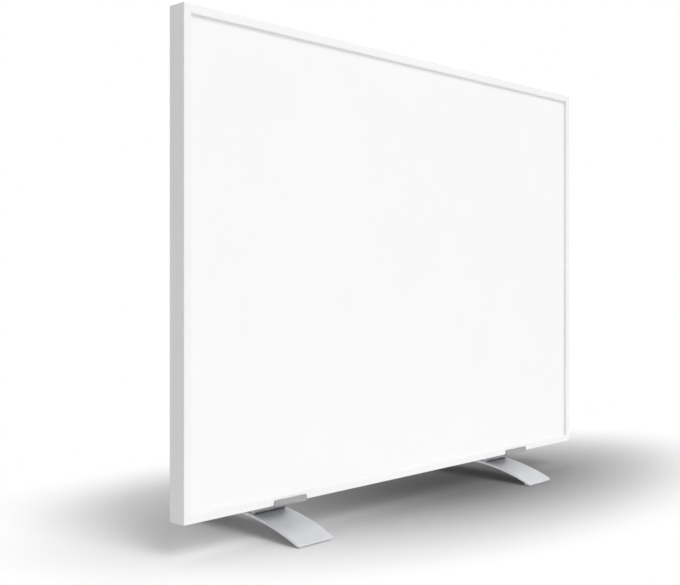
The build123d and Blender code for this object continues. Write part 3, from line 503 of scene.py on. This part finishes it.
def ring_grid(profile, segments, radial=None):
    """Surface of revolution about local Z: each (radius, height) of the profile makes a ring.

    radial(turn, reach, level) may return a changed radius, for flats or ribs.
    """
    radius, height = np.asarray(profile, float).T
    around = np.arange(segments) * 2 * np.pi / segments
    turn, reach = np.meshgrid(around, radius)
    level = np.repeat(height[:, None], segments, axis=1)
    if radial is not None:
        reach = radial(turn, reach, level)
    return np.stack([reach * np.cos(turn), reach * np.sin(turn), level], -1)


def recessed_head(outer, recess, rings, segments):
    """Top of a screw head as a height over the disc: the dome's height less the recess's depth.

    outer is the dome's list of (radius, height) from the axis to the rim, read by linear
    interpolation, and recess(x, y) gives the depth of the driver's recess.
    """
    radii, heights = np.asarray(outer, float).T
    around = np.arange(segments) * 2 * np.pi / segments
    turn, reach = np.meshgrid(around, np.linspace(0, radii[-1], rings))
    x, y = reach * np.cos(turn), reach * np.sin(turn)
    return np.stack([x, y, np.interp(reach, radii, heights) - recess(x, y)], -1)


def cross_recess(reach, half_width, depth, flank=0.3, taper=0.55):
    """Cross recess: two crossed arms, and each point takes the depth of the arm it lies deeper in.

    How far a point lies inside an arm is told by the larger of its two distances from the axis,
    one as a share of the arm's reach and one of its half width. flank is the share over which an
    arm's walls slope, and taper the share of the depth that is lost towards an arm's end.
    """

    def depth_at(x, y):
        arm = np.maximum(abs(x) / reach, abs(y) / half_width)
        other = np.maximum(abs(y) / reach, abs(x) / half_width)
        inside = np.clip((1 - np.minimum(arm, other)) / flank, 0, 1)
        return depth * inside * (1 - taper * np.hypot(x, y) / reach)

    return depth_at


def hex_recess(across_flats, depth, flank=0.08):
    """Hexagon socket: full depth where the largest of three flat distances is inside.

    flank is the share of the size across the flats over which the walls slope.
    """

    def depth_at(x, y):
        flats = [abs(x * math.cos(turn) + y * math.sin(turn)) for turn in np.radians([0, 60, 120])]
        inside = (across_flats / 2 - np.max(flats, axis=0)) / (flank * across_flats)
        return depth * np.clip(inside, 0, 1)

    return depth_at


def hexagonal(across_flats):
    """Radius limit of a hexagon: half its size over the cosine of the turn from a flat."""

    def limit(turn, reach, level):
        folded = (turn + math.pi / 6) % (math.pi / 3) - math.pi / 6
        return np.minimum(reach, across_flats / 2 / np.cos(folded))

    return limit


def turned(profile, segments, radial=None, ring=False):
    """Points in metres and faces of a turned piece. A ring's profile closes on itself."""
    grid = ring_grid(profile, segments, radial)
    return grid * MM, grid_faces(*grid.shape[:2], wrap=True, wrap_rows=ring)


def screw(head, recess, below, rings=22, segments=48):
    """A whole screw as one grid: the recessed head, then rings down the shank to its end."""
    top = recessed_head(head, recess, rings, segments)
    grid = np.concatenate([top, ring_grid(below, segments)])
    return grid * MM, grid_faces(*grid.shape[:2], wrap=True)


# ---------------------------------------------------------------- shapes of the new pieces
def bow_radius(sizes):
    """Radius of the bow's upper side from its chord and rise."""
    return (sizes.bow_length**2 / 4 + sizes.bow_rise**2) / (2 * sizes.bow_rise)


def drawn_back(from_end, radius):
    """How far a round of that radius draws a side back, at a distance from its end."""
    inside = radius - np.minimum(from_end, radius)
    return radius - np.sqrt(radius**2 - inside**2)


def bow_section(sizes, tip):
    """Section of the bowed plate at each distance from a tip, as (sideways, upwards) offsets.

    It is a rectangle, width by thickness, with quarter rounds at its four corners. Near a tip
    its half width shrinks as the plan corner's circle asks, and over the last fraction of a
    millimetre both half width and thickness shrink by the edge's own round.
    """
    corner, edge = sizes.bow_corner, sizes.bow_edge
    in_plan, at_edge = drawn_back(tip, corner), drawn_back(tip, edge)
    half = (sizes.bow_width / 2 - edge - in_plan * (1 - edge / corner) - at_edge)[:, None]
    thick = (sizes.bow_sheet / 2 - edge - at_edge * TIP_THINNING)[:, None]
    across = np.linspace(-1, 1, FLAT_STEPS + 2)[1:-1]
    side = np.concatenate([-np.ones(ROUND_STEPS), across, np.ones(ROUND_STEPS)])
    round_left = np.linspace(np.pi, np.pi / 2, ROUND_STEPS)
    round_right = np.linspace(np.pi / 2, 0, ROUND_STEPS)
    turn = np.concatenate([round_left, np.full(FLAT_STEPS, np.pi / 2), round_right])
    sideways = half * side + edge * np.cos(turn) * (abs(side) == 1)
    upwards = thick + edge * np.sin(turn)
    return (
        np.concatenate([sideways, sideways[:, ::-1]], axis=1),
        np.concatenate([upwards, -upwards[:, ::-1]], axis=1),
    )


def bow_surface(sizes, centre_x, crown_z):
    """Bowed plate: its section carried along a circular arc from tip to tip, both ends capped."""
    radius = bow_radius(sizes)
    half_angle = math.asin(sizes.bow_length / 2 / radius)
    corner = sizes.bow_corner
    whole = 2 * radius * half_angle
    near = corner * (1 - np.cos(np.linspace(0, np.pi / 2, TIP_STEPS)))
    span = np.linspace(corner, whole - corner, SPAN_STEPS)[1:-1]
    along = np.concatenate([near, span, whole - near[::-1]])
    sideways, upwards = bow_section(sizes, np.minimum(along, whole - along))

    lean = (along / radius - half_angle)[:, None]
    reach = radius - sizes.bow_sheet / 2 + upwards
    y = reach * np.sin(lean)
    z = crown_z - radius + reach * np.cos(lean)
    points = np.stack([centre_x + sideways, y, z], -1)
    rows, columns = sideways.shape
    point = np.arange(columns // 2 - 1)
    cap = np.stack([point, point + 1, columns - 2 - point, columns - 1 - point], -1)
    sides = grid_faces(rows, columns, wrap=True)
    return points, np.concatenate([sides, cap, cap + (rows - 1) * columns])


def button_screw():
    """Button-head screw: its dome less a hexagon socket, then rings down its shank."""
    head = [(0, 2.2), (1.5, 2.14), (2.3, 1.93), (3.0, 1.46), (3.5, 0.85), (3.75, 0.3), (3.8, 0.0)]
    below = [(2.1, 0.0), (2.0, -0.1), (2.0, -8.05), (1.7, -8.4), (0.0, -8.4)]
    socket = hex_recess(across_flats=2.5, depth=1.4)
    return screw(head, socket, below, rings=26, segments=60)


def cover_screw():
    """Countersunk screw: a flat face less a cross recess, then a cone and the shank."""
    head = [(0, 0.0), (2.55, 0.0), (2.8, -0.12)]
    below = [(1.5, -1.3), (1.5, -5.5), (1.1, -6.0), (0.0, -6.0)]
    return screw(head, cross_recess(reach=1.75, half_width=0.42, depth=1.0), below)


def lid_screw():
    """Pan-head screw: its dome less a cross recess, then rings down its shank."""
    head = [(0, 1.8), (1.1, 1.75), (1.9, 1.57), (2.5, 1.2), (2.85, 0.7), (3.0, 0.0)]
    below = [(1.5, 0.0), (1.5, -9.5), (1.1, -10.0), (0.0, -10.0)]
    return screw(head, cross_recess(reach=1.7, half_width=0.42, depth=1.0), below)


def hex_nut(sizes):
    """Hexagon nut: rings round its bore and outside, cut to a hexagon, both rims bevelled."""
    flats, height = sizes.nut_flats / MM, sizes.nut_height / MM
    bore, countersink = 2.05, 0.3
    face, bevel = flats / 2 * 0.97, 0.3
    lower = [(bore, countersink), (bore + countersink, 0.0), (face, 0.0)]
    lower += [(face + bevel, 0.17), (flats, 0.5)]
    upper = [(radius, height - level) for radius, level in reversed(lower)]
    return turned(lower + upper, segments=72, radial=hexagonal(flats), ring=True)


def blind_rivet():
    """Blind rivet, a turned profile: dome with the mandrel's dimple, shank and swollen tail."""
    dimple = [(0, 0.85), (0.7, 0.85), (0.85, 1.33)]
    dome = [(1.0, 1.4), (1.6, 1.33), (2.2, 1.12), (2.7, 0.8), (3.05, 0.4), (3.2, 0.0)]
    shank = [(1.6, 0.0), (1.6, -2.3)]
    tail = [(2.5, -2.4), (2.5, -5.9), (1.9, -6.5), (0.0, -6.5)]
    return turned(dimple + dome + shank + tail, segments=32)


def gland_cap(ribs):
    """Clamping nut of the gland: a domed ring whose radius is cut in by a wave of grip ribs."""
    outer, rib_depth = 7.4, 0.45
    rib_top, rib_bottom = -0.9, -9.6
    top_run_out, bottom_run_out = 0.5, 0.8
    steepness, land, steps_to_a_rib = 1.6, 0.3, 10
    profile = [(7.0, 0.0), (outer, -0.4), (outer, rib_top)]
    profile += [(outer, level) for level in np.linspace(-1.3, -9.0, 10)]
    profile += [(outer, -9.4), (7.25, -10.3), (6.85, -11.2), (6.2, -12.1)]
    profile += [(5.4, -12.7), (4.5, -13.0), (3.9, -13.0), (3.7, -12.8)]
    profile += [(3.7, -11.4), (5.0, -11.4), (5.0, -9.0), (5.45, -9.0), (5.45, -0.2), (5.6, 0.0)]

    def ribbed(turn, reach, level):
        """The outer radius less a clipped cosine wave, which runs out towards both rib ends."""
        from_top = np.clip((rib_top - level) / top_run_out, 0, 1)
        from_bottom = np.clip((level - rib_bottom) / bottom_run_out, 0, 1)
        groove = np.clip(np.cos(ribs * turn) * steepness - land, 0, 1)
        return reach - rib_depth * groove * (from_top * from_bottom) * (reach > outer - 0.1)

    return turned(profile, ribs * steps_to_a_rib, ribbed, ring=True)


# ---------------------------------------------------------------- places of the new pieces
def rear_facing(x, y, z):
    """A place whose local Z points to the rear."""
    return (x, y, z), ((1, 0, 0), (0, 0, -1), (0, 1, 0))


def frame_box():
    """Lowest and highest corners of the whole frame."""
    boxes = [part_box(name) for name in starting("frame_")]
    low = Vector([min(box[0][axis] for box in boxes) for axis in range(3)])
    high = Vector([max(box[1][axis] for box in boxes) for axis in range(3)])
    return low, high


def cover_screw_places(sizes):
    """Screw places round the rear cover, from the frame's own box."""
    low, high = frame_box()
    end, inset = sizes.cover_screw_end, sizes.cover_screw_inset
    long_side = (low.x + end, (low.x + high.x) / 2, high.x - end)
    short_side = (low.z + end, high.z - end)
    places = [(x, z) for x in long_side for z in (low.z + inset, high.z - inset)]
    places += [(x, z) for x in (low.x + inset, high.x - inset) for z in short_side]
    return [rear_facing(x, high.y, z) for x, z in places]


def lid_screw_places(sizes):
    """Lid screw places, from the lid's own box: local Z is zero on the lid."""
    low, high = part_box("junction_lid")
    inset = sizes.lid_screw_inset
    xs, zs = (low.x + inset, high.x - inset), (low.z + inset, high.z - inset)
    return [rear_facing(x, high.y, z) for x in xs for z in zs]


def hanger_rivet_places(sizes):
    """Two rivets to each hanger, their heads on its foot."""
    places = []
    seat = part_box("rear_cover")[1].y + sizes.hanger_sheet
    for name in HANGERS:
        low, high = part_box(name)
        middle, height = (low.x + high.x) / 2, low.z + sizes.rivet_rise
        for side in (-1, 1):
            places.append(rear_facing(middle + side * sizes.rivet_spacing / 2, seat, height))
    return places


def foot_screw_places(sizes, centre_x, crown_z, above):
    """Places on the bow's normal at the screws' angle, above its upper side, local Z outwards."""
    lean = sizes.foot_screw_angle
    outwards = (0.0, -math.sin(lean), math.cos(lean))
    rearwards = (0.0, outwards[2], -outwards[1])
    axes = ((1.0, 0.0, 0.0), rearwards, outwards)
    radius = bow_radius(sizes)
    reach = radius + above
    y, z = reach * outwards[1], crown_z - radius + reach * outwards[2]
    half = sizes.foot_screw_spacing / 2
    return [((centre_x + side * half, y, z), axes) for side in (-1, 1)]


# ---------------------------------------------------------------- operators
class HEATER_OT_frame_bars(Operator):
    """Coats the four extruded frame bars and finishes their corner keys."""

    bl_idname = "heater.frame_bars"
    bl_label = "Frame bars"

    def execute(self, context):
        finish = context.scene.heater_finish
        coat = powder_coat("frame_coat", tuple(finish.coat), lines=0.035, edge=finish.coated_edge)
        dress(starting("frame_"), coat)
        dress(starting("corner_key"), rolled_metal("key_zinc", tuple(finish.zinc), "X"))
        return {"FINISHED"}


class HEATER_OT_plates(Operator):
    """Coats the radiating plate and the rear cover."""

    bl_idname = "heater.plates"
    bl_label = "Plates"

    def execute(self, context):
        finish = context.scene.heater_finish
        plate = powder_coat(
            "plate_coat", tuple(finish.plate), grain=1100.0, depth=0.03, roughness=(0.55, 0.65)
        )
        cover = powder_coat(
            "cover_coat", tuple(finish.cover), grain=900.0, depth=0.03, roughness=(0.5, 0.62)
        )
        dress(["front_plate"], plate)
        dress(["rear_cover"], cover)
        return {"FINISHED"}


class HEATER_OT_layers(Operator):
    """Finishes the heated layers, leads and cut-outs inside the panel."""

    bl_idname = "heater.layers"
    bl_label = "Inner layers"

    def execute(self, context):
        mica = moulded(
            "mica", (0.50, 0.46, 0.36), (0.4, 0.7), grain=300.0, depth=0.05, spread=0.12
        )
        insulation = moulded(
            "insulation", (0.78, 0.75, 0.66), (0.9, 1.0), grain=700.0, depth=0.4, spread=0.08
        )
        silicone = moulded("silicone", (0.62, 0.62, 0.60), (0.5, 0.7))
        brown = moulded("lead_brown", (0.20, 0.09, 0.04), (0.4, 0.5))
        dress(["heating_film"], moulded("film", (0.62, 0.42, 0.12), (0.25, 0.35)))
        dress(["carbon_stripes"], moulded("carbon", (0.02, 0.02, 0.02), (0.6, 0.8)))
        dress(starting("bus_bar"), rolled_metal("copper", (0.72, 0.36, 0.22), "X"))
        dress(["mica_cover"], mica)
        dress(["reflector_foil"], rolled_metal("foil", (0.80, 0.81, 0.82), "X", (0.15, 0.3)))
        dress(["insulation_board"], insulation)
        dress(starting("thermal_cutout"), moulded("phenolic", (0.03, 0.03, 0.03), (0.35, 0.5)))
        dress(["edge_gasket", "cover_grommet"], silicone)
        dress(["wire_live"] + starting("wire_link"), brown)
        dress(["wire_neutral"], moulded("lead_blue", (0.04, 0.16, 0.42), (0.4, 0.5)))
        dress(["wire_earth"], moulded("lead_green", (0.22, 0.42, 0.06), (0.4, 0.5)))
        dress(["earth_lug"], rolled_metal("tin", (0.70, 0.69, 0.66), "Z"))
        dress(["terminal_sleeves"], rolled_metal("brass", (0.75, 0.56, 0.24), "Z"))
        dress(["terminal_block"], moulded("terminal_body", (0.83, 0.82, 0.78), (0.4, 0.55)))
        return {"FINISHED"}


class HEATER_OT_junction_box(Operator):
    """Finishes the junction box, its lid and the cable gland."""

    bl_idname = "heater.junction_box"
    bl_label = "Junction box"

    def execute(self, context):
        finish = context.scene.heater_finish
        box = moulded("box_moulding", tuple(finish.moulding), edge=finish.moulded_edge)
        dress(["junction_box", "junction_lid"], box)
        dress(["gland_body", "gland_nut", "gland_locknut"], gland_moulding(finish))
        dress(["gland_seal"], moulded("seal_rubber", (0.03, 0.03, 0.032), (0.5, 0.7)))
        return {"FINISHED"}


class HEATER_OT_gland_nut(Operator):
    """Makes the ribbed clamping nut of the cable gland."""

    bl_idname = "heater.gland_nut"
    bl_label = "Gland nut"

    def execute(self, context):
        low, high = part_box("gland_nut")
        top = ((low.x + high.x) / 2, (low.y + high.y) / 2, high.z)
        upright = ((1, 0, 0), (0, 1, 0), (0, 0, 1))
        shape = gland_cap(context.scene.heater_sizes.gland_ribs)
        piece = closed_mesh("gland_cap", *copies(*shape, [(top, upright)]))
        plastic = gland_moulding(context.scene.heater_finish)
        finish_piece(piece, plastic, "panel", "gland_plastic", "gland_nut")
        return {"FINISHED"}


class HEATER_OT_fasteners(Operator):
    """Makes the screws and rivets of the rear side and finishes the hidden ones."""

    bl_idname = "heater.fasteners"
    bl_label = "Panel fasteners"

    def execute(self, context):
        sizes = context.scene.heater_sizes
        zinc = bright_zinc(context.scene.heater_finish)
        dress(["junction_box_rivets", "earth_stud", "earth_nut", "terminal_screws"], zinc)
        groups = (
            ("cover_screw_set", cover_screw(), cover_screw_places(sizes), "cover_screws"),
            ("lid_screw_set", lid_screw(), lid_screw_places(sizes), "lid_screws"),
            ("hanger_rivet_set", blind_rivet(), hanger_rivet_places(sizes), "hanger_rivets"),
        )
        for name, shape, places, stands_for in groups:
            piece = closed_mesh(name, *copies(*shape, places))
            finish_piece(piece, zinc, "panel", "fastener_zinc", stands_for)
        return {"FINISHED"}


class HEATER_OT_hangers(Operator):
    """Finishes the four wall hangers."""

    bl_idname = "heater.hangers"
    bl_label = "Wall hangers"

    def execute(self, context):
        finish = context.scene.heater_finish
        zinc = rolled_metal(
            "hanger_zinc", tuple(finish.zinc), "X", (0.28, 0.45), spread=0.08,
            edge=finish.sheet_edge
        )
        dress(HANGERS, zinc)
        return {"FINISHED"}


class HEATER_OT_bows(Operator):
    """Makes the two bowed plates that the heater stands on."""

    bl_idname = "heater.bows"
    bl_label = "Bowed plates"

    def execute(self, context):
        sizes = context.scene.heater_sizes
        metal = tuple(context.scene.heater_finish.bow)
        bow = rolled_metal("bow_metal", metal, "Y", (0.42, 0.52), metallic=0.35, spread=0.045)
        for side in SIDES:
            low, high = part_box(f"foot_{side}_bow")
            shape = bow_surface(sizes, (low.x + high.x) / 2, high.z)
            piece = closed_mesh(f"bowed_plate_{side}", *shape)
            finish_piece(piece, bow, f"foot_{side}", "bow_aluminium", f"foot_{side}_bow")
        return {"FINISHED"}


class HEATER_OT_cradles(Operator):
    """Finishes the bent cradles and the rubber pads of both feet."""

    bl_idname = "heater.cradles"
    bl_label = "Cradles"

    def execute(self, context):
        finish = context.scene.heater_finish
        cradle = rolled_metal(
            "cradle_metal", tuple(finish.cradle), "X", (0.32, 0.45), metallic=0.9,
            edge=finish.sheet_edge
        )
        grip = moulded("grip_rubber", (0.05, 0.05, 0.05), (0.6, 0.8))
        pad = moulded("pad_rubber", tuple(finish.rubber), (0.6, 0.8))
        dress(of_both_feet("cradle"), cradle)
        dress(of_both_feet("grip_pad"), grip)
        dress(of_both_feet("floor_pads"), pad)
        return {"FINISHED"}


class HEATER_OT_foot_fasteners(Operator):
    """Makes the button-head screws and hexagon nuts of both feet."""

    bl_idname = "heater.foot_fasteners"
    bl_label = "Foot fasteners"

    def execute(self, context):
        sizes = context.scene.heater_sizes
        zinc = bright_zinc(context.scene.heater_finish)
        seat = sizes.seat_gap + sizes.cradle_sheet
        under = -sizes.bow_sheet - sizes.nut_height - sizes.nut_gap
        kinds = (("screws", button_screw(), seat), ("nuts", hex_nut(sizes), under))
        for side in SIDES:
            low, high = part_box(f"foot_{side}_bow")
            middle = (low.x + high.x) / 2
            for kind, shape, above in kinds:
                places = foot_screw_places(sizes, middle, high.z, above)
                piece = closed_mesh(f"foot_{kind}_{side}", *copies(*shape, places))
                finish_piece(piece, zinc, f"foot_{side}", "fastener_zinc", f"foot_{side}_{kind}")
        return {"FINISHED"}


class HEATER_OT_studio(Operator):
    """Sets up the floor, the soft lights and the camera."""

    bl_idname = "heater.studio"
    bl_label = "Studio"

    def execute(self, context):
        scene = context.scene
        studio = scene.heater_studio
        scene.view_settings.view_transform = "Standard"
        scene.world = room_light(studio)
        self.floor(studio)
        for name, place in LIGHT_PLACES.items():
            self.soft_sun(f"{name}_light", *place, getattr(studio, name))
        scene.camera = self.camera(studio)
        return {"FINISHED"}

    def floor(self, studio):
        """A wide flat floor."""
        steps = np.linspace(-FLOOR_REACH, FLOOR_REACH, FLOOR_LINES)
        x, y = np.meshgrid(steps, steps)
        floor = open_sheet("floor", np.stack([x, y, np.zeros_like(x)], axis=-1))
        floor.data.materials.append(floor_material(studio))

    def soft_sun(self, name, turn, rise, softness, strength):
        """A broad even light: its turn, rise and softness are in degrees."""
        data = bpy.data.lights.new(name, "SUN")
        data.angle = math.radians(softness)
        data.energy = strength
        lamp = in_scene(name, data)
        lamp.rotation_euler = (math.radians(90 - rise), 0.0, -math.radians(turn))

    def camera(self, studio):
        """A level camera, which keeps upright edges upright, its picture shifted down or up."""
        data = bpy.data.cameras.new("camera")
        data.lens = studio.lens
        data.sensor_width = SENSOR_WIDTH
        data.shift_y = -studio.horizon
        data.clip_start = 0.05
        data.clip_end = 60.0
        camera = in_scene("camera", data)
        camera.location = studio.place
        camera.rotation_euler = (math.pi / 2, 0.0, -studio.turn)
        return camera


# ---------------------------------------------------------------- panel and registration
class HEATER_PT_sidebar(Panel):
    """Lists the heater's pieces and settings."""

    bl_idname = "HEATER_PT_sidebar"
    bl_label = "Infrared panel heater"
    bl_space_type = "VIEW_3D"
    bl_region_type = "UI"
    bl_category = "Heater"

    def draw(self, context):
        for name, group in SETTINGS:
            settings = getattr(context.scene, name)
            column = self.layout.column()
            for key in settings.__annotations__:
                column.prop(settings, key)
        for operator in OPERATORS:
            self.layout.operator(operator.bl_idname)


SETTINGS = (
    ("heater_finish", HeaterFinish),
    ("heater_studio", HeaterStudio),
    ("heater_sizes", HeaterSizes),
)
OPERATORS = (
    HEATER_OT_studio,
    HEATER_OT_frame_bars,
    HEATER_OT_plates,
    HEATER_OT_layers,
    HEATER_OT_junction_box,
    HEATER_OT_gland_nut,
    HEATER_OT_fasteners,
    HEATER_OT_hangers,
    HEATER_OT_bows,
    HEATER_OT_cradles,
    HEATER_OT_foot_fasteners,
)


def register():
    """Registers the settings, the operators and the panel."""
    for key, group in SETTINGS:
        bpy.utils.register_class(group)
        setattr(bpy.types.Scene, key, PointerProperty(type=group))
    for operator in OPERATORS:
        bpy.utils.register_class(operator)
    bpy.utils.register_class(HEATER_PT_sidebar)


def unregister():
    """Takes the panel, the operators and the settings away again."""
    bpy.utils.unregister_class(HEATER_PT_sidebar)
    for operator in reversed(OPERATORS):
        bpy.utils.unregister_class(operator)
    for key, group in reversed(SETTINGS):
        delattr(bpy.types.Scene, key)
        bpy.utils.unregister_class(group)


def main():
    """Builds the whole scene."""
    register()
    for operator in OPERATORS:
        getattr(bpy.ops.heater, operator.bl_idname.split(".")[1])()
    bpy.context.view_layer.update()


if __name__ == "__main__":
    main()
